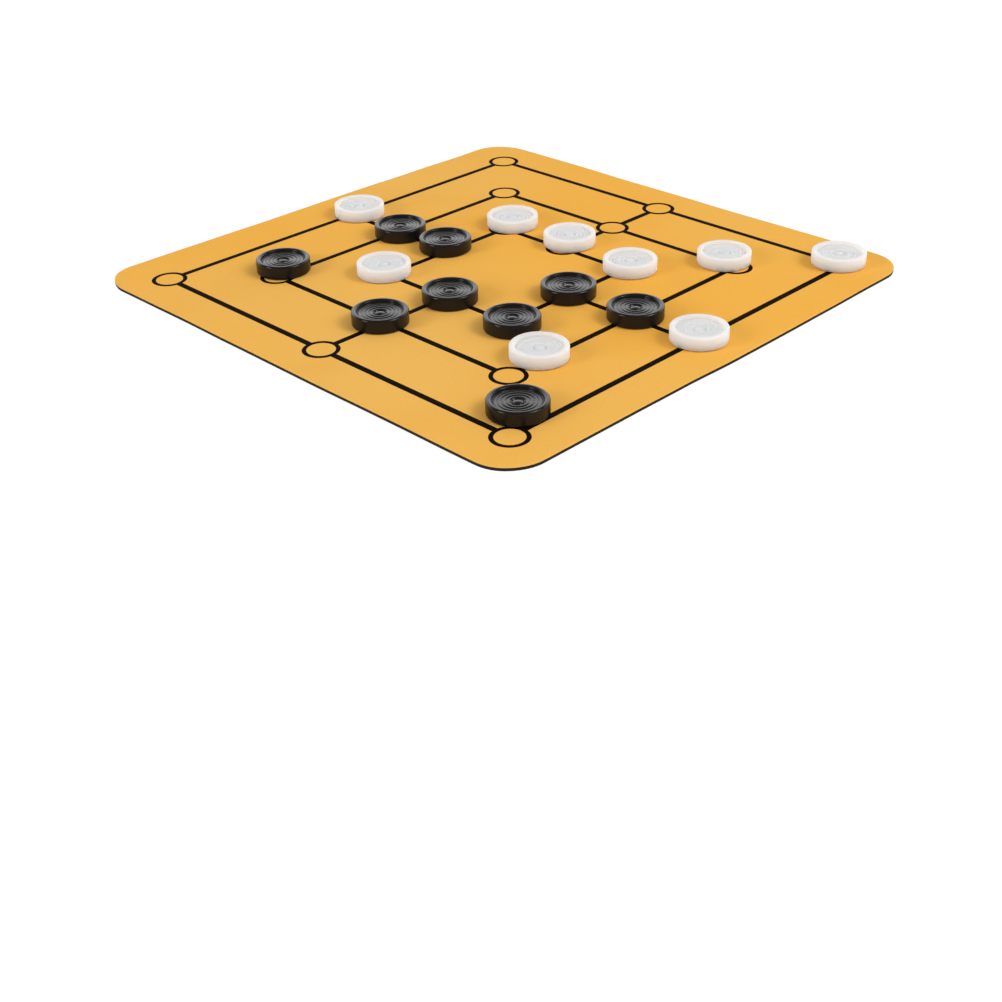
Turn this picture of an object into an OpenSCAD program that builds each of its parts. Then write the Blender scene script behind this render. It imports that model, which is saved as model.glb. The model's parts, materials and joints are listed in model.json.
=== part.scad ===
// Nine men's morris set: a roll-up foam mat with the three-square board drawn on it,
// and nine black and nine white stacking men, standing as in the middle of a game.
// The origin is the middle of the mat's underside and +Z is up. Sizes are in millimetres.

/* [Mat] */
// Bare border on three sides of the mat, from the middle of the outer square's line
border_w = 24.5; // [18:0.5:60]
// How much wider the border is on the -x side, where the cut lies off the print
border_extra = 4.5; // [0:0.5:8]
// Radius of the mat's four cut corners
mat_corner_r = 21; // [8:1:36]
// Thickness of the black foam backing
backing_t = 1.5; // [1:0.1:4]
// Thickness of the coloured face, bonded to the backing
face_t = 0.5; // [0.4:0.05:1]
// Rounding of the face's upper edge, where the cutting die pressed it down
face_edge_r = 0.3; // [0.1:0.05:0.35]

/* [Board drawing] */
// Side of the inner square, to the middle of its line
inner_sq = 87.6; // [78:0.2:120]
// Room between two men on neighbouring points of the inner and middle squares
inner_lane_gap = 12.6; // [10:0.2:24]
// Room between two men on neighbouring points of the middle and outer squares
outer_lane_gap = 11.8; // [8:0.2:24]
// Width of the straight lines
line_w = 3.5; // [2:0.1:5]
// Diameter of the ring round each point, to the middle of its line
ring_d = 16.3; // [12:0.1:20]
// Width of the ring's line
ring_line_w = 2.2; // [1.4:0.1:3]
// Depth to which the ink fills the face
ink_t = 0.1; // [0.05:0.05:0.2]

/* [Men] */
// Diameter of a man
man_d = 28.4; // [25:0.2:34]
// Height of a man
man_h = 7.4; // [6.5:0.1:10]
// Rounding of the man's outer edges
man_edge_r = 1; // [0.5:0.1:1.1]
// Width of the raised rim on both faces
rim_w = 2.6; // [2.4:0.1:4]
// Width of the flat on the rim's crest, which a man stands on
rim_flat_w = 0.3; // [0.1:0.05:0.3]
// Slope of the rim where it meets the outer rounding, in degrees
rim_slope = 18; // [8:1:30]
// Rounding of the rim's inner lip
lip_r = 0.8; // [0.3:0.05:0.9]
// Depth of the recess inside the rim
recess_d = 1.9; // [1.6:0.05:2.4]
// How far the recess wall leans in towards its foot
wall_draft = 0.25; // [0.05:0.05:0.4]
// Rounding at the foot of the recess wall
foot_r = 0.4; // [0.2:0.05:0.6]
// Width of the round-topped ridges in the recess
ridge_w = 1.85; // [1.2:0.05:2]
// How high the ridges stand
ridge_h = 0.35; // [0.15:0.05:0.4]
// How high the domed boss in the middle stands
boss_h = 0.45; // [0.2:0.05:0.6]
// Width of the groove about the boss, which is half as deep and round at its foot
groove_w = 1.3; // [0.8:0.05:1.5]

/* [Hidden] */
$fn = 96;
// Cuts run this far past the face that they open
overrun = 0.4;
// Solids that are joined run this far into each other
lap = 0.5;
mid_sq = inner_sq + 2 * (man_d + inner_lane_gap);
outer_sq = mid_sq + 2 * (man_d + outer_lane_gap);
squares = [outer_sq, mid_sq, inner_sq];
mat_size = [outer_sq + 2 * border_w + border_extra, outer_sq + 2 * border_w];
// The drawing and the men stand this far off the mat's middle
print_off = border_extra / 2;
mat_t = backing_t + face_t;
man_r = man_d / 2;
recess_r = man_r - rim_w;
recess_floor = man_h - recess_d;
foot = [recess_r - wall_draft, recess_floor + foot_r];
lip_z = man_h - lip_r;

// Radius of a circle whose cap is as wide as w and as high as h
function cap_radius(w, h) = (w * w / 4 + h * h) / (2 * h);

// The rim's crown starts at the outer end of its flat and runs on into the edge rounding
crest_r = recess_r + lip_r + rim_flat_w;
crown_r = man_edge_r + (man_r - man_edge_r - crest_r) / sin(rim_slope);
edge_z = man_h - crown_r + (crown_r - man_edge_r) * cos(rim_slope);

// Radii of the ridges, and of the groove about the boss, as shares of the recess's radius
ridge_shares = [0.378, 0.552, 0.73, 0.879];
groove_share = 0.246;
boss_w = 2 * groove_share * recess_r - groove_w;
ridge_r = cap_radius(ridge_w, ridge_h);
boss_r = cap_radius(boss_w, boss_h);

// Places of the men: the square (0 outer, 1 middle, 2 inner), the point on that square
// in x and y steps from the middle, and how far the man stands off the point in x and y,
// as shares of a man's diameter
black_place_shares = [
    [1, -1, -1, -0.165, 0.278],
    [1, -1, 0, 0.150, -0.063],
    [2, -1, 0, -0.125, 0.039],
    [2, 0, -1, 0.168, -0.045],
    [1, 0, -1, -0.049, -0.053],
    [2, 1, -1, 0.232, -0.114],
    [2, 1, 0, 0.024, -0.012],
    [1, 1, 0, 0.075, 0.057],
    [0, 1, -1, -0.433, 0.621]
];
white_place_shares = [
    [0, -1, 0, 0.114, 0.129],
    [2, -1, -1, -0.081, -0.021],
    [2, -1, 1, -0.009, 0.220],
    [2, 0, 1, -0.063, 0.259],
    [2, 1, 1, 0.083, 0.060],
    [1, 1, 1, -0.297, 0.050],
    [0, 1, 1, -0.121, 0.001],
    [0, 1, 0, 0.001, 0.105],
    [1, 1, -1, -0.078, 0.800]
];

// The eight points of a square of side w
function points(w) = [
    for (x = [-1 : 1])
        for (y = [-1 : 1])
            if (x != 0 || y != 0) [x, y] * w / 2
];

// Where a man stands on the mat
function place(row) = [
    row[1] * squares[row[0]] / 2 + row[3] * man_d + print_off,
    row[2] * squares[row[0]] / 2 + row[4] * man_d,
    mat_t
];

// Rectangle with corners of radius r
module rounded_rectangle(size, r) {
    square([size.x, size.y - 2 * r], center = true);
    square([size.x - 2 * r, size.y], center = true);
    for (x = [-1, 1])
        for (y = [-1, 1])
            translate([x * (size.x / 2 - r), y * (size.y / 2 - r)]) circle(r);
}

// Frame of side w, to the middle of its line
module square_line(w) {
    difference() {
        square(w + line_w, center = true);
        square(w - line_w, center = true);
    }
}

// Ring round a point
module point_ring() {
    difference() {
        circle(d = ring_d + ring_line_w);
        circle(d = ring_d - ring_line_w);
    }
}

// The whole drawing: three squares, four cross lines that stop at the inner square,
// and a ring at every point, which the lines don't enter
module drawing_outline() {
    translate([print_off, 0]) {
        difference() {
            union() {
                for (w = squares) square_line(w);
                for (turn = [0 : 90 : 270])
                    rotate(turn)
                        translate([inner_sq / 2, -line_w / 2])
                            square([(outer_sq - inner_sq) / 2, line_w]);
            }
            for (w = squares)
                for (p = points(w))
                    translate(p) circle(d = ring_d);
        }
        for (w = squares)
            for (p = points(w))
                translate(p) point_ring();
    }
}

module mat_backing() {
    color("#1c1a19") linear_extrude(backing_t) rounded_rectangle(mat_size, mat_corner_r);
}

// Section of the face's upper edge: a quarter round that laps into the plate
module pressed_edge_section() {
    intersection() {
        circle(face_edge_r);
        square(face_edge_r);
    }
    translate([-lap, 0]) square([lap + face_edge_r / 2, face_edge_r * sqrt(3) / 2]);
}

// The face's plate, with its upper edge pressed round along the sides and the corners
module face_plate() {
    inset = [face_edge_r, face_edge_r];
    straight = mat_size - 2 * [mat_corner_r, mat_corner_r];
    edge_z = face_t - face_edge_r;
    linear_extrude(edge_z) rounded_rectangle(mat_size, mat_corner_r);
    linear_extrude(face_t)
        rounded_rectangle(mat_size - 2 * inset, mat_corner_r - face_edge_r);
    for (side = [0 : 3]) {
        across = side % 2 == 0 ? mat_size.x : mat_size.y;
        along = side % 2 == 0 ? straight.y : straight.x;
        rotate(side * 90)
            translate([across / 2 - face_edge_r, along / 2, edge_z]) {
                rotate([90, 0, 0]) linear_extrude(along) pressed_edge_section();
                translate([face_edge_r - mat_corner_r, 0, 0])
                    rotate_extrude(angle = 90)
                        translate([mat_corner_r - face_edge_r, 0]) pressed_edge_section();
            }
    }
}

module mat_face() {
    color("#efb24d")
        translate([0, 0, backing_t])
            difference() {
                face_plate();
                translate([0, 0, face_t - ink_t])
                    linear_extrude(ink_t + overrun) drawing_outline();
            }
}

module board_drawing() {
    color("#2a201c")
        translate([0, 0, mat_t - ink_t]) linear_extrude(ink_t) drawing_outline();
}

// Both faces of a man are alike, so the lower one is the upper one turned over
module both_faces() {
    children();
    translate([0, man_h]) mirror([0, 1]) children();
}

// Half section of a man before its faces are hollowed: a straight side, rounded outer
// edges, and rims that fall a little from their crests towards those edges
module man_blank_section() {
    square([crest_r, man_h]);
    translate([0, man_h - edge_z]) square([man_r, 2 * edge_z - man_h]);
    both_faces() {
        translate([man_r - man_edge_r, edge_z]) circle(man_edge_r);
        intersection() {
            translate([crest_r, man_h - crown_r]) circle(crown_r);
            translate([crest_r - lap, man_h / 2])
                square([lap + crown_r * sin(rim_slope), man_h / 2]);
        }
    }
}

// Half section of what one recess takes away: rounded foot, leaning wall, rounded lip
module recess_section() {
    polygon([
        [0, foot.y],
        foot,
        [recess_r, lip_z],
        [recess_r, man_h + overrun],
        [0, man_h + overrun]
    ]);
    translate([0, recess_floor]) square([foot.x - foot_r, foot_r + overrun]);
    translate([foot.x - foot_r, foot.y]) circle(foot_r);
    difference() {
        translate([0, lip_z]) square([recess_r + lip_r, lip_r + overrun]);
        translate([recess_r + lip_r, lip_z]) circle(lip_r);
    }
}

// Half section of the domed boss and the ridges in one recess, rooted in its floor
module ridge_section() {
    intersection() {
        union() {
            translate([0, recess_floor + boss_h - boss_r]) circle(boss_r);
            for (share = ridge_shares)
                translate([share * recess_r, recess_floor + ridge_h - ridge_r])
                    circle(ridge_r);
        }
        translate([0, recess_floor - ridge_h]) square([recess_r, recess_d]);
    }
}

// Half section of what the groove about the boss takes away: round foot, upright walls
module groove_section() {
    translate([groove_share * recess_r, recess_floor]) {
        circle(d = groove_w);
        translate([-groove_w / 2, 0]) square([groove_w, recess_d]);
    }
}

// One man, standing on the crest of its lower rim
module man() {
    rotate_extrude() {
        difference() {
            union() {
                difference() {
                    man_blank_section();
                    both_faces() recess_section();
                }
                both_faces() ridge_section();
            }
            both_faces() groove_section();
        }
    }
}

module black_man(i) {
    color("#26221f") translate(place(black_place_shares[i - 1])) man();
}

module white_man(i) {
    color("#f2f1ee") translate(place(white_place_shares[i - 1])) man();
}

mat_backing();
mat_face();
board_drawing();
for (i = [1 : 9]) black_man(i);
for (i = [1 : 9]) white_man(i);
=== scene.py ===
"""Dresses a nine men's morris set: a roll-up foam mat and its eighteen stacking men.

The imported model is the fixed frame. The mat's cloth and foam are laid sheets made here,
the men are revolved mouldings made by Geometry Nodes, and the board drawing is the
frame's own piece with an ink finish. All sizes are in metres.
"""

import json
import logging
import math
from collections.abc import Callable
from dataclasses import dataclass
from enum import Enum
from typing import Union

import bmesh
import bpy
from mathutils import Matrix, Vector, noise

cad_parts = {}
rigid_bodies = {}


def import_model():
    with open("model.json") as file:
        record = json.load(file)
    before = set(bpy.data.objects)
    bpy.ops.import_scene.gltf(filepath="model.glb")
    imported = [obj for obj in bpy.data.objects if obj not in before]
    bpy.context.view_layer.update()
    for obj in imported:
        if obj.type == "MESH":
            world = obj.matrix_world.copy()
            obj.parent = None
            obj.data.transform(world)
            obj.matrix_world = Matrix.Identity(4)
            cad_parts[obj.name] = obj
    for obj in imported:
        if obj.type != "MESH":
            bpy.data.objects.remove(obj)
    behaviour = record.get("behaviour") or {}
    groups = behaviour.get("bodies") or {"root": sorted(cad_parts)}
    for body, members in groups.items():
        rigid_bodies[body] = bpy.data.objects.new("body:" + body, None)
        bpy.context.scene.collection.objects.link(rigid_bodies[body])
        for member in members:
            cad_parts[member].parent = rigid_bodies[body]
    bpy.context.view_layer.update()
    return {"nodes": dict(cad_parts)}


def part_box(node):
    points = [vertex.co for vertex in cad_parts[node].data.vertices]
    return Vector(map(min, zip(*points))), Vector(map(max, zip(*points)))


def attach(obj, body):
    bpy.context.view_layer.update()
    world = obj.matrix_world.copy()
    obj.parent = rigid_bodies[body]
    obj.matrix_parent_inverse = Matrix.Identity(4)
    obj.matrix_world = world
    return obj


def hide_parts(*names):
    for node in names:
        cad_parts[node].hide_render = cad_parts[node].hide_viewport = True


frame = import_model()

log = logging.getLogger("morris")

MM = 0.001
IMAGE_PX = 1002
WHITE = (1.0, 1.0, 1.0)

Point = tuple[float, float]
Colour = tuple[float, float, float]
Term = Union["Signal", float]


def srgb(red: int, green: int, blue: int) -> Colour:
    """A colour given in screen values from 0 to 255, in the linear values of a shader.

    Args:
        red: Red on the screen.
        green: Green on the screen.
        blue: Blue on the screen.

    Returns:
        The same colour in linear light.
    """

    def linear(level: int) -> float:
        """One channel in linear light."""
        share = level / 255
        return share / 12.92 if share <= 0.04045 else ((share + 0.055) / 1.055) ** 2.4

    return linear(red), linear(green), linear(blue)


def smooth(value: float) -> float:
    """Eases a share from 0 to 1 without a kink at either end."""
    share = min(max(value, 0.0), 1.0)
    return share * share * (3 - 2 * share)


class Signal:
    """A number that flows between nodes, with arithmetic that adds Math nodes."""

    def __init__(self, graph: "Graph", socket: bpy.types.NodeSocket) -> None:
        """Wraps one output socket of a graph."""
        self.graph = graph
        self.socket = socket

    def _maths(self, operation: str, *terms: Term) -> "Signal":
        """Adds a Math node whose inputs are the terms, in order."""
        values = dict(enumerate(terms))
        return self.graph.add("ShaderNodeMath", {"operation": operation}, values).out()

    def __add__(self, other: Term) -> "Signal":
        """Sum."""
        return self._maths("ADD", self, other)

    __radd__ = __add__

    def __sub__(self, other: Term) -> "Signal":
        """Difference."""
        return self._maths("SUBTRACT", self, other)

    def __rsub__(self, other: float) -> "Signal":
        """Difference from a number."""
        return self._maths("SUBTRACT", other, self)

    def __mul__(self, other: Term) -> "Signal":
        """Product."""
        return self._maths("MULTIPLY", self, other)

    __rmul__ = __mul__

    def __truediv__(self, other: Term) -> "Signal":
        """Quotient."""
        return self._maths("DIVIDE", self, other)

    def __rtruediv__(self, other: float) -> "Signal":
        """Quotient of a number."""
        return self._maths("DIVIDE", other, self)

    def sine(self) -> "Signal":
        """Sine of an angle in radians."""
        return self._maths("SINE", self)

    def cosine(self) -> "Signal":
        """Cosine of an angle in radians."""
        return self._maths("COSINE", self)

    def floor(self) -> "Signal":
        """Whole number below."""
        return self._maths("FLOOR", self)

    def clamped(self) -> "Signal":
        """The value held between 0 and 1."""
        values = {"Value": self, "Min": 0.0, "Max": 1.0}
        return self.graph.add("ShaderNodeClamp", {}, values).out()

    def band(self, start: float, end: float) -> "Signal":
        """A smooth share that is 0 at start and 1 at end.

        Args:
            start: Value at which the share leaves 0.
            end: Value at which it reaches 1.

        Returns:
            The share.
        """
        values = {"Value": self, "From Min": start, "From Max": end}
        eased = {"interpolation_type": "SMOOTHSTEP"}
        return self.graph.add("ShaderNodeMapRange", eased, values).out()


Value = Signal | float | int | tuple | Vector | bpy.types.ID


class Added:
    """A node that a graph has just been given."""

    def __init__(self, graph: "Graph", node: bpy.types.Node) -> None:
        """Wraps the node."""
        self.graph = graph
        self.node = node

    def out(self, name: str | int = 0) -> Signal:
        """One of the node's outputs, by name or number."""
        return Signal(self.graph, self.node.outputs[name])


class Graph:
    """A node tree that is written as statements."""

    def __init__(self, tree: bpy.types.NodeTree) -> None:
        """Wraps an empty tree."""
        self.tree = tree

    def add(self, kind: str, settings: dict[str, object] | None = None,
            values: dict[str | int, Value] | None = None) -> Added:
        """Adds a node of any type.

        Args:
            kind: The node's type, such as ShaderNodeTexNoise.
            settings: Its own settings, set before its sockets.
            values: What its input sockets hold or are linked to, by name or number.

        Returns:
            The node.
        """
        node = self.tree.nodes.new(kind)
        for name, setting in (settings or {}).items():
            setattr(node, name, setting)
        for name, value in (values or {}).items():
            self._feed(node.inputs[name], value)
        return Added(self, node)

    def _feed(self, socket: bpy.types.NodeSocket, value: Value) -> None:
        """Links a socket, or sets what it holds."""
        if isinstance(value, Signal):
            self.tree.links.new(value.socket, socket)
        elif socket.type == "RGBA" and isinstance(value, tuple):
            socket.default_value = (*value[:3], 1.0)
        else:
            socket.default_value = value

    def noise(self, place: Value, scale: float, detail: float = 2.0,
              roughness: float = 0.5) -> Signal:
        """Cloudy noise from about 0 to 1, with scale in features per metre."""
        values = {"Vector": place, "Scale": scale, "Detail": detail, "Roughness": roughness}
        return self.add("ShaderNodeTexNoise", {}, values).out("Fac")

    def blend(self, share: Value, low: Value, high: Value) -> Signal:
        """A colour between two, by a share that may vary."""
        values = {"Factor": share, 6: low, 7: high}
        return self.add("ShaderNodeMix", {"data_type": "RGBA"}, values).out(2)


class Finish:
    """A surface finish. Each kind writes its own nodes."""

    name: str

    def material(self) -> bpy.types.Material:
        """The finish as a material, made once."""
        found = bpy.data.materials.get(self.name)
        if found:
            return found
        material = bpy.data.materials.new(self.name)
        material.use_nodes = True
        material.node_tree.nodes.clear()
        self.write(Graph(material.node_tree))
        return material

    def write(self, graph: Graph) -> None:
        """Writes the finish's nodes into an empty tree."""
        raise NotImplementedError

    @staticmethod
    def place(graph: Graph) -> Signal:
        """Object coordinates, which are the set's own metres."""
        return graph.add("ShaderNodeTexCoord").out("Object")

    @staticmethod
    def surface(graph: Graph, values: dict[str | int, Value]) -> None:
        """Ends a tree in a Principled surface."""
        shader = graph.add("ShaderNodeBsdfPrincipled", {}, values)
        graph.add("ShaderNodeOutputMaterial", {}, {"Surface": shader.out("BSDF")})

    @staticmethod
    def bump(graph: Graph, height: Value, distance: float, under: Value | None = None) -> Signal:
        """A bumped normal, over another one if it is given.

        Args:
            graph: The tree.
            height: Height from 0 to 1.
            distance: Height in metres that 1 stands for.
            under: The normal that it is laid over.

        Returns:
            The normal.
        """
        values: dict[str | int, Value] = {"Height": height, "Distance": distance, "Strength": 1.0}
        if under is not None:
            values["Normal"] = under
        return graph.add("ShaderNodeBump", {}, values).out("Normal")


@dataclass(frozen=True)
class ClothFinish(Finish):
    """The mat's ochre face: close-knit printed cloth with faint cloudy patches.

    The scales are in features per metre.
    """

    name: str = "ochre_cloth"
    colour: Colour = srgb(243, 179, 72)
    faded: Colour = srgb(239, 184, 90)
    deep: Colour = srgb(232, 164, 56)
    thread_pitch: float = 0.45 * MM
    thread_height: float = 0.018 * MM
    grain_height: float = 0.03 * MM
    grain_scale: float = 900.0
    fibre_scale: float = 2600.0
    patch_scale: float = 14.0
    fading_scale: float = 4.5

    def write(self, graph: Graph) -> None:
        """Writes the cloth's nodes."""
        place = self.place(graph)
        axes = graph.add("ShaderNodeSeparateXYZ", {}, {0: place})
        turn = 2 * math.pi / self.thread_pitch
        rows = (axes.out("Y") * turn).sine() * 0.5 + 0.5
        wales = (axes.out("X") * turn).sine() * 0.5 + 0.5
        knit = rows * wales
        grain = graph.noise(place, self.grain_scale, 3.0, 0.6)
        fibre = graph.noise(place, self.fibre_scale)
        patch = graph.noise(place, self.patch_scale, 3.0, 0.55)
        fading = graph.noise(place, self.fading_scale, 1.0)
        base = graph.blend(fading.band(0.35, 0.7), self.colour, self.faded)
        base = graph.blend(patch.band(0.45, 0.75) * 0.35, base, self.deep)
        base = graph.blend((1 - grain).band(0.45, 0.75) * 0.3, base, self.deep)
        normal = self.bump(graph, knit, self.thread_height)
        normal = self.bump(graph, grain * 0.7 + fibre * 0.3, self.grain_height, normal)
        self.surface(graph, {
            "Base Color": base,
            "Roughness": 0.82 + grain * 0.12 - fading * 0.06,
            "Specular IOR Level": 0.12,
            "Normal": normal,
        })


@dataclass(frozen=True)
class InkFinish(Finish):
    """The drawing's brown-black ink, a thin film that the cloth's grain shows through.

    The scales are in features per metre.
    """

    name: str = "printed_ink"
    colour: Colour = srgb(18, 10, 6)
    thin: Colour = srgb(33, 21, 15)
    grain_height: float = 0.02 * MM
    grain_scale: float = 1100.0
    cover_scale: float = 60.0

    def write(self, graph: Graph) -> None:
        """Writes the ink's nodes."""
        place = self.place(graph)
        grain = graph.noise(place, self.grain_scale, 3.0, 0.6)
        cover = graph.noise(place, self.cover_scale)
        share = (grain * 0.6 + cover * 0.4).band(0.5, 0.72) * 0.5
        self.surface(graph, {
            "Base Color": graph.blend(share, self.colour, self.thin),
            "Roughness": 0.75 + grain * 0.15,
            "Specular IOR Level": 0.03,
            "Normal": self.bump(graph, grain, self.grain_height),
        })


@dataclass(frozen=True)
class FoamFinish(Finish):
    """The backing's black foam rubber, pitted with fine cells and a little dusty."""

    name: str = "foam_rubber"
    colour: Colour = srgb(27, 25, 24)
    dusty: Colour = srgb(52, 49, 46)
    cell_size: float = 0.5 * MM
    cell_depth: float = 0.08 * MM
    dust_scale: float = 220.0

    def write(self, graph: Graph) -> None:
        """Writes the foam's nodes."""
        place = self.place(graph)
        values = {"Vector": place, "Scale": 1 / self.cell_size}
        cells = graph.add("ShaderNodeTexVoronoi", {"feature": "F1"}, values).out("Distance")
        dust = graph.noise(place, self.dust_scale, 3.0, 0.6)
        self.surface(graph, {
            "Base Color": graph.blend(dust.band(0.5, 0.8) * 0.5, self.colour, self.dusty),
            "Roughness": 0.8 + dust * 0.15,
            "Specular IOR Level": 0.3,
            "Normal": self.bump(graph, cells, self.cell_depth),
        })


@dataclass(frozen=True)
class MouldedFinish(Finish):
    """Glossy injection-moulded plastic, with faint flow marks and handling scuffs.

    Upright walls, which fingers hold, are duller than the two faces. The scales are in
    features per metre.
    """

    name: str
    colour: Colour
    scuffed: Colour
    roughness: float
    side_roughness: float
    gloss: float
    milkiness: float = 0.0
    milk_depth: float = 14.0 * MM
    milk_spread: Colour = (1.0, 0.97, 0.92)
    flow_height: float = 0.006 * MM
    flow_scale: float = 180.0
    haze_scale: float = 75.0
    speck_scale: float = 1500.0

    def write(self, graph: Graph) -> None:
        """Writes the plastic's nodes."""
        place = self.place(graph)
        flow = graph.noise(place, self.flow_scale)
        haze = graph.noise(place, self.haze_scale, 3.0, 0.6)
        specks = graph.noise(place, self.speck_scale, 2.0, 0.7)
        scuff = haze.band(0.45, 0.75) * specks.band(0.5, 0.75)
        facing = graph.add("ShaderNodeTexCoord").out("Normal")
        tilt = graph.add("ShaderNodeSeparateXYZ", {}, {0: facing}).out("Z")
        upright = 1 - (tilt * tilt).band(0.02, 0.2)
        dull = upright * (self.side_roughness - self.roughness)
        self.surface(graph, {
            "Base Color": graph.blend(scuff * 0.5, self.colour, self.scuffed),
            "Roughness": self.roughness + dull + haze * 0.03 + scuff * 0.1,
            "Specular IOR Level": self.gloss,
            "Subsurface Weight": self.milkiness,
            "Subsurface Radius": Vector(self.milk_spread),
            "Subsurface Scale": self.milk_depth,
            "Normal": self.bump(graph, flow, self.flow_height),
        })


class Side(Enum):
    """The two sides of the game: name, record's material slot and finish."""

    BLACK = ("black", "black_plastic",
             MouldedFinish("black_moulding", srgb(20, 18, 18), srgb(42, 40, 38),
                           roughness=0.04, side_roughness=0.3, gloss=0.27))
    WHITE = ("white", "white_plastic",
             MouldedFinish("white_moulding", srgb(230, 230, 230), srgb(223, 221, 218),
                           roughness=0.55, side_roughness=0.6, gloss=0.07, milkiness=1.0))

    def __init__(self, label: str, slot: str, finish: MouldedFinish) -> None:
        """Keeps the three parts under their own names."""
        self.label = label
        self.slot = slot
        self.finish = finish


@dataclass(frozen=True)
class ManSection:
    """Half section of a stacking man: round-backed rim, leaning wall, ridged recess.

    Both faces are alike. The points run from the middle of the upper face, out over the
    rim and down the side, to the middle of the lower face.
    """

    radius: float
    height: float
    rim_width: float = 2.6 * MM
    crest_inset: float = 1.3 * MM
    inner_crown: float = 1.8 * MM
    outer_crown: float = 1.6 * MM
    lip_round: float = 0.45 * MM
    edge_round: float = 0.9 * MM
    recess_depth: float = 1.9 * MM
    wall_draft: float = 0.25 * MM
    foot_round: float = 0.4 * MM
    ridge_height: float = 0.35 * MM
    ridge_half_width: float = 0.925 * MM
    boss_height: float = 0.45 * MM
    groove_depth: float = 0.65 * MM
    groove_half_width: float = 0.65 * MM
    ridge_shares: tuple[float, ...] = (0.378, 0.552, 0.73, 0.879)
    groove_share: float = 0.246
    floor_step: float = 0.12 * MM
    foot_gap: float = 0.03 * MM
    side_run: float = 0.135 * MM
    arc_steps: tuple[int, int, int, int] = (6, 6, 5, 8)

    @property
    def recess_radius(self) -> float:
        """Radius of the recess at the lip."""
        return self.radius - self.rim_width

    @staticmethod
    def _cap(away: float, half_width: float, height: float) -> float:
        """Height of a round-topped form at a distance from its middle."""
        if abs(away) >= half_width:
            return 0.0
        radius = (half_width**2 + height**2) / (2 * height)
        return math.sqrt(radius**2 - away**2) - (radius - height)

    def floor_height(self, radius: float) -> float:
        """Height of the recess floor above the lower rim, with boss, ridges and groove."""
        groove = self.groove_share * self.recess_radius
        caps = [self._cap(radius, groove - self.groove_half_width, self.boss_height)]
        caps += [self._cap(radius - share * self.recess_radius, self.ridge_half_width,
                           self.ridge_height) for share in self.ridge_shares]
        height = self.height - self.recess_depth + max(caps)
        away = abs(radius - groove) / self.groove_half_width
        if away < 1:
            height -= self.groove_depth * (0.5 + 0.5 * math.cos(math.pi * away))
        reach = radius - (self.recess_radius - self.wall_draft - self.foot_round)
        if reach > 0:
            height += self.foot_round - math.sqrt(max(self.foot_round**2 - reach**2, 0.0))
        return height

    @staticmethod
    def _arc(middle: Point, radius: float, start: float, end: float, count: int) -> list[Point]:
        """Points on an arc, with angles in radians from the radius's direction."""
        turns = [start + (end - start) * i / count for i in range(count + 1)]
        return [(middle[0] + radius * math.cos(t), middle[1] + radius * math.sin(t)) for t in turns]

    def _rim(self) -> list[Point]:
        """Points over the rim: lip, round back and outer rounding."""
        upright, level = math.pi / 2, math.pi
        crest = self.radius - self.crest_inset
        lip = self.recess_radius + self.lip_round
        edge = self.radius - self.edge_round
        lean_in = math.asin((crest - lip) / (self.inner_crown - self.lip_round))
        lean_out = math.asin((edge - crest) / (self.outer_crown - self.edge_round))
        inner_z, outer_z = self.height - self.inner_crown, self.height - self.outer_crown
        lip_z = inner_z + (self.inner_crown - self.lip_round) * math.cos(lean_in)
        edge_z = outer_z + (self.outer_crown - self.edge_round) * math.cos(lean_out)
        inner_turn, outer_turn = upright + lean_in, upright - lean_out
        arcs = (((lip, lip_z), self.lip_round, level, inner_turn),
                ((crest, inner_z), self.inner_crown, inner_turn, upright),
                ((crest, outer_z), self.outer_crown, upright, outer_turn),
                ((edge, edge_z), self.edge_round, outer_turn, 0.0))
        points: list[Point] = []
        for arc, count in zip(arcs, self.arc_steps):
            points += self._arc(*arc, count)[1 if points else 0:]
        return points + [(self.radius, edge_z - self.side_run)]

    def half(self) -> list[Point]:
        """Points of the upper half, as (radius, height above mid-height)."""
        foot = self.recess_radius - self.wall_draft
        floor_end = foot - self.foot_gap
        count = math.ceil(floor_end / self.floor_step)
        points = [(floor_end * i / count, self.floor_height(floor_end * i / count))
                  for i in range(count + 1)]
        rim = self._rim()
        wall_low = self.height - self.recess_depth + self.foot_round
        points += [(foot, wall_low), ((foot + rim[0][0]) / 2, (wall_low + rim[0][1]) / 2)]
        return [(r, z - self.height / 2) for r, z in points + rim]

    def points(self) -> list[Point]:
        """Points of the whole section, as (radius, height above the lower rim)."""
        upper = self.half()
        lower = [(r, -z) for r, z in reversed(upper)]
        return [(r, z + self.height / 2) for r, z in upper + lower]


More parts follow.
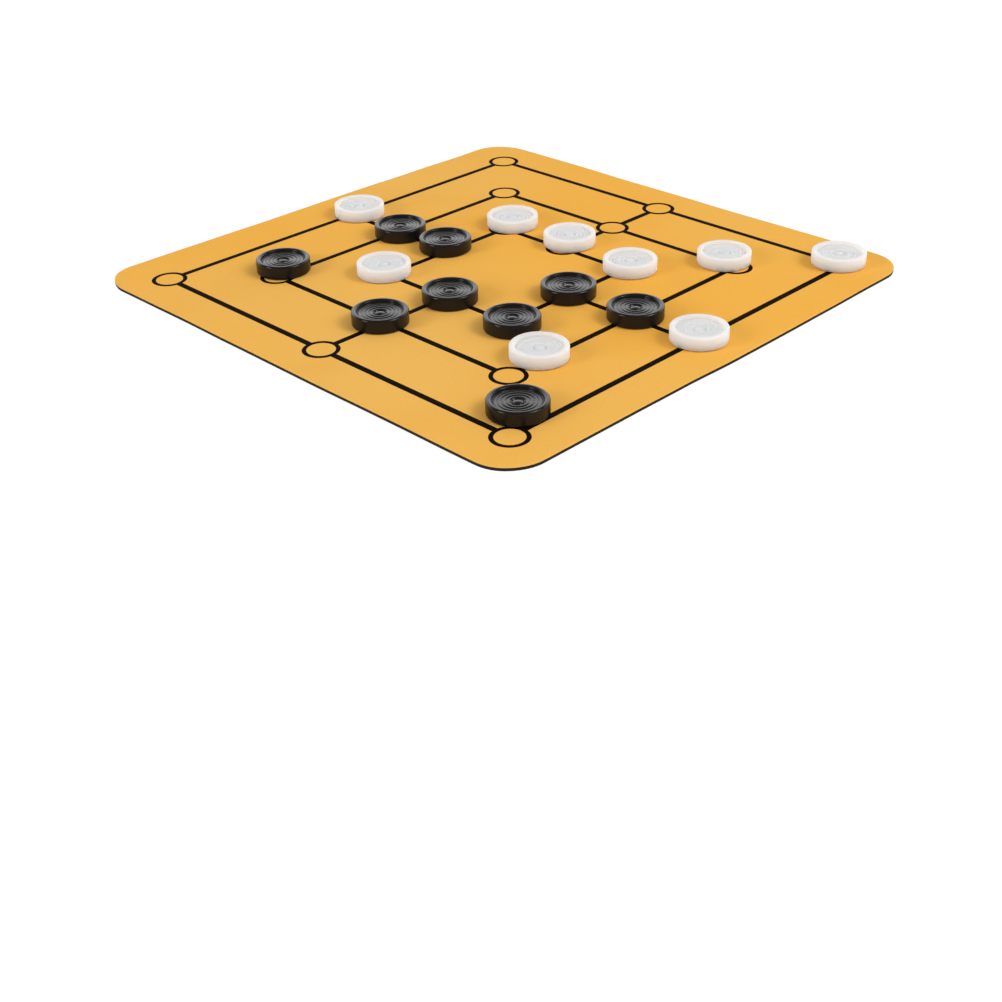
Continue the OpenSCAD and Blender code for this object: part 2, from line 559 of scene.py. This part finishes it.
class Revolver:
    """A Geometry Nodes tree that turns a half section into a closed moulding."""

    WELD_DISTANCE = 0.002 * MM

    def __init__(self) -> None:
        """Builds the tree."""
        self.tree = bpy.data.node_groups.new("Revolved moulding", "GeometryNodeTree")
        sockets = self.tree.interface
        self.ids: dict[str, str] = {}
        for name, kind in (("Section", "NodeSocketObject"), ("Section points", "NodeSocketInt"),
                           ("Sectors", "NodeSocketInt"), ("Place", "NodeSocketVector"),
                           ("Weld distance", "NodeSocketFloat"), ("Finish", "NodeSocketMaterial")):
            self.ids[name] = sockets.new_socket(name, in_out="INPUT", socket_type=kind).identifier
        sockets.new_socket("Geometry", in_out="OUTPUT", socket_type="NodeSocketGeometry")
        self._write(Graph(self.tree))

    @staticmethod
    def _write(graph: Graph) -> None:
        """Bends a grid round the axis: its columns are the section, its rows the sectors."""
        given = graph.add("NodeGroupInput")
        count, sectors = given.out("Section points"), given.out("Sectors")
        grid = graph.add("GeometryNodeMeshGrid", {}, {
            "Size X": count - 1, "Size Y": sectors,
            "Vertices X": count, "Vertices Y": sectors + 1,
        })
        place = graph.add("GeometryNodeInputPosition").out()
        cell = graph.add("ShaderNodeSeparateXYZ", {}, {0: place})
        row = (cell.out("X") + (count - 1) / 2 + 0.5).floor()
        turn = (cell.out("Y") + sectors / 2) * 2 * math.pi / sectors
        section = graph.add("GeometryNodeObjectInfo", {}, {"Object": given.out("Section")})
        sample = graph.add("GeometryNodeSampleIndex", {"data_type": "FLOAT_VECTOR"}, {
            "Geometry": section.out("Geometry"), "Value": place, "Index": row,
        })
        point = graph.add("ShaderNodeSeparateXYZ", {}, {0: sample.out("Value")})
        bent = graph.add("ShaderNodeCombineXYZ", {}, {
            "X": point.out("X") * turn.cosine(), "Y": point.out("X") * turn.sine(),
            "Z": point.out("Z"),
        })
        placed = graph.add("ShaderNodeVectorMath", {"operation": "ADD"},
                           {0: bent.out(), 1: given.out("Place")})
        shaped = graph.add("GeometryNodeSetPosition", {},
                           {"Geometry": grid.out("Mesh"), "Position": placed.out()})
        welded = graph.add("GeometryNodeMergeByDistance", {},
                           {"Geometry": shaped.out(), "Distance": given.out("Weld distance")})
        whole = graph.add("GeometryNodeRealizeInstances", {}, {"Geometry": welded.out()})
        dressed = graph.add("GeometryNodeSetMaterial", {},
                            {"Geometry": whole.out(), "Material": given.out("Finish")})
        graph.add("NodeGroupOutput", {}, {"Geometry": dressed.out()})

    def turn(self, name: str, section: bpy.types.Object, place: Vector, sectors: int,
             finish: bpy.types.Material) -> bpy.types.Object:
        """Makes one moulding.

        Args:
            name: Name of the piece.
            section: Object whose vertices are the half section, in order.
            place: Where the middle of the moulding's lower face goes.
            sectors: Number of sectors round the axis.
            finish: Material of the piece.

        Returns:
            The piece, as a plain mesh with its place in its vertices.
        """
        piece = bpy.data.objects.new(name, bpy.data.meshes.new(name))
        bpy.context.scene.collection.objects.link(piece)
        modifier = piece.modifiers.new("Revolve", "NODES")
        modifier.node_group = self.tree
        values = {"Section": section, "Section points": len(section.data.vertices),
                  "Sectors": sectors, "Place": place, "Weld distance": self.WELD_DISTANCE,
                  "Finish": finish}
        for key, value in values.items():
            modifier[self.ids[key]] = value
        settled = piece.evaluated_get(bpy.context.evaluated_depsgraph_get())
        mesh = bpy.data.meshes.new_from_object(settled)
        piece.modifiers.clear()
        piece.data = mesh
        mesh.name = name
        tidy_faces(mesh)
        return piece


def tidy_faces(mesh: bpy.types.Mesh) -> None:
    """Points a closed mesh's faces outwards and shades them smooth."""
    work = bmesh.new()
    work.from_mesh(mesh)
    bmesh.ops.recalc_face_normals(work, faces=work.faces)
    if work.calc_volume(signed=True) < 0:
        bmesh.ops.reverse_faces(work, faces=work.faces)
    for face in work.faces:
        face.smooth = True
    work.to_mesh(mesh)
    work.free()


@dataclass
class Men:
    """The eighteen stacking men, each on its own body."""

    count: int = 9
    sectors: int = 112

    def section(self) -> bpy.types.Object:
        """The half section of a man, sized from the frame, as an object of loose points."""
        low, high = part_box("black_man_1")
        shape = ManSection(radius=(high[0] - low[0]) / 2, height=high[2] - low[2])
        mesh = bpy.data.meshes.new("man_section")
        mesh.from_pydata([(r, 0.0, z) for r, z in shape.points()], [], [])
        holder = bpy.data.objects.new("man_section", mesh)
        bpy.context.scene.collection.objects.link(holder)
        return holder

    def build(self) -> None:
        """Makes every man and lets it ride on its body."""
        section = self.section()
        revolver = Revolver()
        for side in Side:
            for number in range(1, self.count + 1):
                node = f"{side.label}_man_{number}"
                low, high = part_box(node)
                place = Vector(((low[0] + high[0]) / 2, (low[1] + high[1]) / 2, low[2]))
                piece = revolver.turn(f"{side.label}_moulding_{number}", section, place,
                                      self.sectors, side.finish.material())
                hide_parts(node)
                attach(piece, node)
                log.info("%s: %d faces", piece.name, len(piece.data.polygons))
        bpy.data.objects.remove(section)


@dataclass(frozen=True)
class EdgeShape:
    """How the laid mat's edge departs from a flat, true rectangle.

    The tables give, in millimetres, how far the cut lies outside its true line at evenly
    spaced places along a side. The sides are numbered from +x round to -y, and each is
    followed counterclockwise.
    """

    cut_lines: tuple[tuple[float, ...], ...] = (
        (-1.1, -1.0, -0.9, -0.6, 0.4, 0.4, 0.2, -0.2, -0.3),
        (0.1, 0.1, 0.0, -0.45, 0.0, -0.15, 0.5, 0.4, -0.3),
        (-0.9, -1.1, -0.3, 0.2, 0.4, 0.3, 0.8, 1.1, 1.6),
        (-0.5, -0.8, -0.9, -0.45, -0.3, -0.1, -0.2, 0.0, -0.1),
    )
    lifts: tuple[float, ...] = (0.1 * MM, 0.15 * MM, 0.5 * MM, 0.25 * MM)
    mean_lift: float = 0.55
    lift_swing: float = 0.45
    waves_per_metre: float = 26.0

    def shift(self, side: int, share: float) -> float:
        """How far the cut lies outside its true line.

        Args:
            side: Number of the side.
            share: Place along the side, from -1 to 1.

        Returns:
            The distance in metres.
        """
        table = self.cut_lines[side]
        place = (min(max(share, -1.0), 1.0) + 1) / 2 * (len(table) - 1)
        low = min(int(place), len(table) - 2)
        return MM * (table[low] + (table[low + 1] - table[low]) * smooth(place - low))

    def lift(self, side: int, x: float, y: float) -> float:
        """Height of the mat's underside above the table at the edge of a side."""
        wave = noise.noise(Vector((x, y, 0.1 * side)) * self.waves_per_metre)
        share = self.mean_lift + self.lift_swing * wave
        return self.lifts[side] * min(max(share, 0.0), 1.0)


@dataclass
class Mat:
    """The mat: a cloth face bonded to a foam backing, laid on the table.

    Each layer has a core, a plain grid that ends core_margin inside the cut edge, and loops
    of vertices round it, whose insets from the cut edge are given in millimetres.
    """

    corner_radius: float = 21 * MM
    face_edge_round: float = 0.3 * MM
    face_edge_steps: int = 5
    backing_edge_round: float = 0.15 * MM
    hem_rise: float = 0.06 * MM
    hem_inset: float = 0.05 * MM
    cut_chamfer: float = 0.3
    ink_film: float = 0.02 * MM
    core_margin: float = 15 * MM
    core_cells: int = 64
    loop_insets: tuple[float, ...] = (13.0, 11.0, 9.0, 7.0, 5.2, 3.6, 2.3, 1.3)
    corner_share: float = 0.24
    edge: EdgeShape = EdgeShape()

    def __post_init__(self) -> None:
        """Takes the mat's size from the frame."""
        low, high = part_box("mat_backing")
        self.half = ((high[0] - low[0]) / 2, (high[1] - low[1]) / 2)
        self.backing_top = high[2]
        self.face_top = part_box("mat_face")[1][2] - self.ink_film

    def _settle(self, x: float, y: float, z: float) -> tuple[float, float, float]:
        """Where a point of the flat, true mat comes to lie."""
        moved = [x, y, z]
        for axis, (place, along) in enumerate(((x, y), (y, x))):
            reach = (abs(place) - self.half[axis] + self.core_margin) / self.core_margin
            if reach <= 0:
                continue
            side = axis if place > 0 else axis + 2
            turn = 1 if side in (0, 3) else -1
            share = turn * along / self.half[1 - axis]
            ease = smooth(reach)
            moved[axis] += math.copysign(1.0, place) * self.edge.shift(side, share) * ease
            moved[2] += self.edge.lift(side, x, y) * ease
        return moved[0], moved[1], moved[2]

    def _loop_point(self, side: int, share: float, inset: float) -> Point:
        """A point on the mat's true outline moved inwards.

        Args:
            side: Side of the mat, from 0 to 3.
            share: Place along the side, from -1 to 1.
            inset: Distance from the cut edge.

        Returns:
            The point's x and y.
        """
        reach = 1 - inset / self.core_margin
        radius = self.corner_radius * reach
        across, along = self.half[side % 2] - inset, self.half[1 - side % 2] - inset
        straight = 1 - self.corner_share * reach
        if abs(share) <= straight:
            x, y = across, share / straight * (along - radius)
        else:
            turn = math.radians(45) * (abs(share) - straight) / (1 - straight)
            x = across - radius + radius * math.cos(turn)
            y = math.copysign(along - radius + radius * math.sin(turn), share)
        turned = Matrix.Rotation(math.radians(90 * side), 2) @ Vector((x, y))
        return turned.x, turned.y

    def _loop(self, inset: float) -> list[Point]:
        """All the points of one loop round the mat, as many as the core's rim has."""
        cells = self.core_cells
        return [self._loop_point(side, 2 * i / cells - 1, inset)
                for side in range(4) for i in range(cells)]

    def _sheet(self, name: str, profile: list[Point]) -> bpy.types.Mesh:
        """A closed sheet whose edge follows a profile.

        Args:
            name: Name of the mesh.
            profile: (inset, height) pairs from the top's core, over the edge, to the
                bottom's core. Its first and last entries are the core's two heights.

        Returns:
            The mesh.
        """
        work = bmesh.new()
        size = self.core_cells

        def core(z: float) -> list[list[bmesh.types.BMVert]]:
            """The grid in the middle, by rows."""
            spans = [half - self.core_margin for half in self.half]
            steps = [2 * i / size - 1 for i in range(size + 1)]
            return [[work.verts.new(self._settle(spans[0] * i, spans[1] * j, z)) for i in steps]
                    for j in steps]

        def rim(grid: list[list[bmesh.types.BMVert]]) -> list[bmesh.types.BMVert]:
            """The grid's outer vertices, in the order of a loop's points."""
            right = [grid[i][size] for i in range(size)]
            far = [grid[size][size - i] for i in range(size)]
            left = [grid[size - i][0] for i in range(size)]
            near = [grid[0][i] for i in range(size)]
            return right + far + left + near

        top, bottom = core(profile[0][1]), core(profile[-1][1])
        loops = [rim(top)]
        loops += [[work.verts.new(self._settle(x, y, z)) for x, y in self._loop(inset)]
                  for inset, z in profile[1:-1]]
        loops.append(rim(bottom))
        for grid, order in ((top, 1), (bottom, -1)):
            for i in range(size):
                for j in range(size):
                    quad = (grid[i][j], grid[i][j + 1], grid[i + 1][j + 1], grid[i + 1][j])
                    work.faces.new(quad[::order])
        count = len(loops[0])
        for upper, lower in zip(loops, loops[1:]):
            for i in range(count):
                j = (i + 1) % count
                work.faces.new((lower[i], lower[j], upper[j], upper[i]))
        mesh = bpy.data.meshes.new(name)
        work.to_mesh(mesh)
        work.free()
        tidy_faces(mesh)
        return mesh

    def _piece(self, name: str, mesh: bpy.types.Mesh, finish: Finish) -> bpy.types.Object:
        """An object with the mesh and the finish."""
        piece = bpy.data.objects.new(name, mesh)
        bpy.context.scene.collection.objects.link(piece)
        mesh.materials.append(finish.material())
        return piece

    def _insets(self) -> list[float]:
        """Insets of the loops between the core and the edge."""
        return [inset * MM for inset in self.loop_insets]

    def cloth(self) -> bpy.types.Object:
        """The printed cloth face."""
        top, low, edge = self.face_top, self.backing_top, self.face_edge_round
        profile = [(0.0, top)] + [(inset, top) for inset in self._insets()]
        steps = self.face_edge_steps
        turns = [math.radians(90 * i / steps) for i in range(steps + 1)]
        profile += [(edge * (1 - math.sin(t)), top - edge * (1 - math.cos(t))) for t in turns]
        profile += [(0.0, low + self.hem_rise), (self.hem_inset, low)]
        profile += [(inset, low) for inset in reversed(self._insets())] + [(0.0, low)]
        return self._piece("cloth_face", self._sheet("cloth_face", profile), ClothFinish())

    def foam(self) -> bpy.types.Object:
        """The foam-rubber backing."""
        top, edge = self.backing_top, self.backing_edge_round
        cut = self.cut_chamfer * edge
        profile = [(0.0, top)] + [(inset, top) for inset in self._insets()]
        profile += [(edge, top), (cut, top - cut), (0.0, top - edge)]
        profile += [(0.0, top / 2), (0.0, edge), (cut, cut), (edge, 0.0)]
        profile += [(inset, 0.0) for inset in reversed(self._insets())] + [(0.0, 0.0)]
        return self._piece("foam_backing", self._sheet("foam_backing", profile), FoamFinish())

    def build(self) -> None:
        foam, cloth = self.foam(), self.cloth()
        width, length = 2 * self.half[0], 2 * self.half[1]
        area = width * length - (4 - math.pi) * self.corner_radius**2
        for piece, node, slot, below in ((foam, "mat_backing", "mat_backing", ()),
                                         (cloth, "mat_face", "mat_face", (foam,))):
            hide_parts(node)
            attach(piece, "mat")
            log.info("%s: %d faces", piece.name, len(piece.data.polygons))
        drawing = frame["nodes"]["board_drawing"]
        for entry in drawing.material_slots:
            entry.material = InkFinish().material()
        log.info("board_drawing: inked")


@dataclass(frozen=True)
class SoftBox:
    """A square soft lamp that points at the middle of the mat, with its power in watts."""

    name: str
    place: Vector
    size: float
    power: float

    def hang(self) -> None:
        """Adds the lamp to the scene."""
        data = bpy.data.lights.new(self.name, "AREA")
        data.shape = "SQUARE"
        data.size = self.size
        data.energy = self.power
        holder = bpy.data.objects.new(self.name, data)
        bpy.context.scene.collection.objects.link(holder)
        turn = (-self.place).to_track_quat("-Z", "Y").to_matrix().to_4x4()
        holder.matrix_world = Matrix.Translation(self.place) @ turn


@dataclass
class Studio:
    """Camera, lamps, surroundings and floor.

    The lamps are two soft boxes with hot middles, the stronger one on the camera's right.
    The world's shares say how much of its light is taken away, and its bands between which
    values of a direction's height, or of its likeness to dark_side, the change runs.
    """

    eye: Vector = Vector((506.25, -505.2, 302.6)) * MM
    azimuth: float = 45.379
    elevation: float = 31.756
    roll: float = -1.367
    focal_px: float = 1458.4
    sensor_mm: float = 36.0
    near_clip: float = 0.01
    right_lamp: Vector = Vector((2.375, 1.058, 2.34))
    left_lamp: Vector = Vector((-0.84, -3.14, 1.4))
    bulb_reach: float = 0.97
    background: float = 1.0
    ambient: float = 0.51
    fill: float = 0.3
    fill_band: Point = (0.1, 0.5)
    bright_room: float = 2.2
    dark_side: Vector = Vector((0.45, -0.45, 0.77))
    dark_band: Point = (-0.15, 0.35)
    dark_share: float = 0.85
    low_band: Point = (0.05, 0.3)
    low_share: float = 0.6
    floor_size: float = 6.0
    floor_drop: float = 0.02 * MM
    floor_white: Colour = (0.9, 0.9, 0.9)
    floor_glow: float = 1.11
    glow_share: float = 0.8

    def camera(self) -> None:
        """Sets the camera where the photograph was taken from."""
        data = bpy.data.cameras.new("view")
        data.sensor_width = self.sensor_mm
        data.lens = self.focal_px * self.sensor_mm / IMAGE_PX
        data.clip_start = self.near_clip
        holder = bpy.data.objects.new("view", data)
        bpy.context.scene.collection.objects.link(holder)
        turn = (Matrix.Rotation(math.radians(self.azimuth), 4, "Z")
                @ Matrix.Rotation(math.radians(90 - self.elevation), 4, "X")
                @ Matrix.Rotation(math.radians(self.roll), 4, "Z"))
        holder.matrix_world = Matrix.Translation(self.eye) @ turn
        bpy.context.scene.camera = holder

    def lamps(self) -> None:
        """Hangs both soft boxes, each with a small strong bulb in front of its middle."""
        right, left, reach = self.right_lamp, self.left_lamp, self.bulb_reach
        for box in (SoftBox("right_box", right, size=2.2, power=48.0),
                    SoftBox("right_bulb", right * reach, size=0.75, power=16.0),
                    SoftBox("left_box", left, size=1.4, power=28.0),
                    SoftBox("left_bulb", left * reach, size=0.6, power=10.0)):
            box.hang()

    def surroundings(self) -> None:
        """A plain world: white where it is seen, and softer as a light.

        As a light it is stronger near the horizon, which fills upright sides. In
        reflections the far wall is a bright panel, and the room is dimmer near the floor,
        overhead and behind the photographer.
        """
        world = bpy.data.worlds.new("studio")
        world.use_nodes = True
        world.node_tree.nodes.clear()
        graph = Graph(world.node_tree)
        path = graph.add("ShaderNodeLightPath")
        toward = graph.add("ShaderNodeTexCoord").out("Generated")
        facing = graph.add("ShaderNodeVectorMath", {"operation": "DOT_PRODUCT"},
                           {0: toward, 1: self.dark_side}).out("Value")
        height = graph.add("ShaderNodeSeparateXYZ", {}, {0: toward}).out("Z")
        overhead = 1 - facing.band(*self.dark_band) * self.dark_share
        low = 1 - (1 - height.band(*self.low_band)) * self.low_share
        glossy = path.out("Is Glossy Ray")
        seen = (path.out("Is Camera Ray") + path.out("Is Transmission Ray")).clamped()
        lit = (1 - height.band(*self.fill_band)) * self.fill + self.ambient
        plain = seen * self.background + (1 - seen) * lit
        strength = plain * (1 - glossy) + glossy * overhead * low * self.bright_room
        shader = graph.add("ShaderNodeBackground", {}, {"Color": WHITE, "Strength": strength})
        graph.add("ShaderNodeOutputWorld", {}, {"Surface": shader.out()})
        bpy.context.scene.world = world

    def floor(self) -> None:
        """A white floor that still takes the set's shadow."""
        mesh = bpy.data.meshes.new("floor")
        half, low = self.floor_size / 2, -self.floor_drop
        corners = [(-half, -half, low), (half, -half, low), (half, half, low), (-half, half, low)]
        mesh.from_pydata(corners, [], [(0, 1, 2, 3)])
        holder = bpy.data.objects.new("floor", mesh)
        bpy.context.scene.collection.objects.link(holder)
        material = bpy.data.materials.new("white_floor")
        material.use_nodes = True
        material.node_tree.nodes.clear()
        graph = Graph(material.node_tree)
        path = graph.add("ShaderNodeLightPath")
        seen = (path.out("Is Camera Ray") + path.out("Is Glossy Ray")).clamped()
        matt = graph.add("ShaderNodeBsdfDiffuse", {}, {"Color": self.floor_white})
        glow = graph.add("ShaderNodeEmission", {}, {"Color": WHITE, "Strength": self.floor_glow})
        mixed = graph.add("ShaderNodeMixShader", {},
                          {0: seen * self.glow_share, 1: matt.out(), 2: glow.out()})
        graph.add("ShaderNodeOutputMaterial", {}, {"Surface": mixed.out()})
        mesh.materials.append(material)

    def build(self) -> None:
        """Sets up the whole studio."""
        self.camera()
        self.lamps()
        self.surroundings()
        self.floor()
        bpy.context.scene.view_settings.view_transform = "Standard"
        log.info("studio: camera, lamps, surroundings and floor")


def main() -> None:
    """Builds the studio and the set."""
    logging.basicConfig(level=logging.INFO, format="%(name)s: %(message)s")
    steps: list[Callable[[], None]] = [Studio().build, Mat().build, Men().build]
    for step in steps:
        step()


if __name__ == "__main__":
    main()
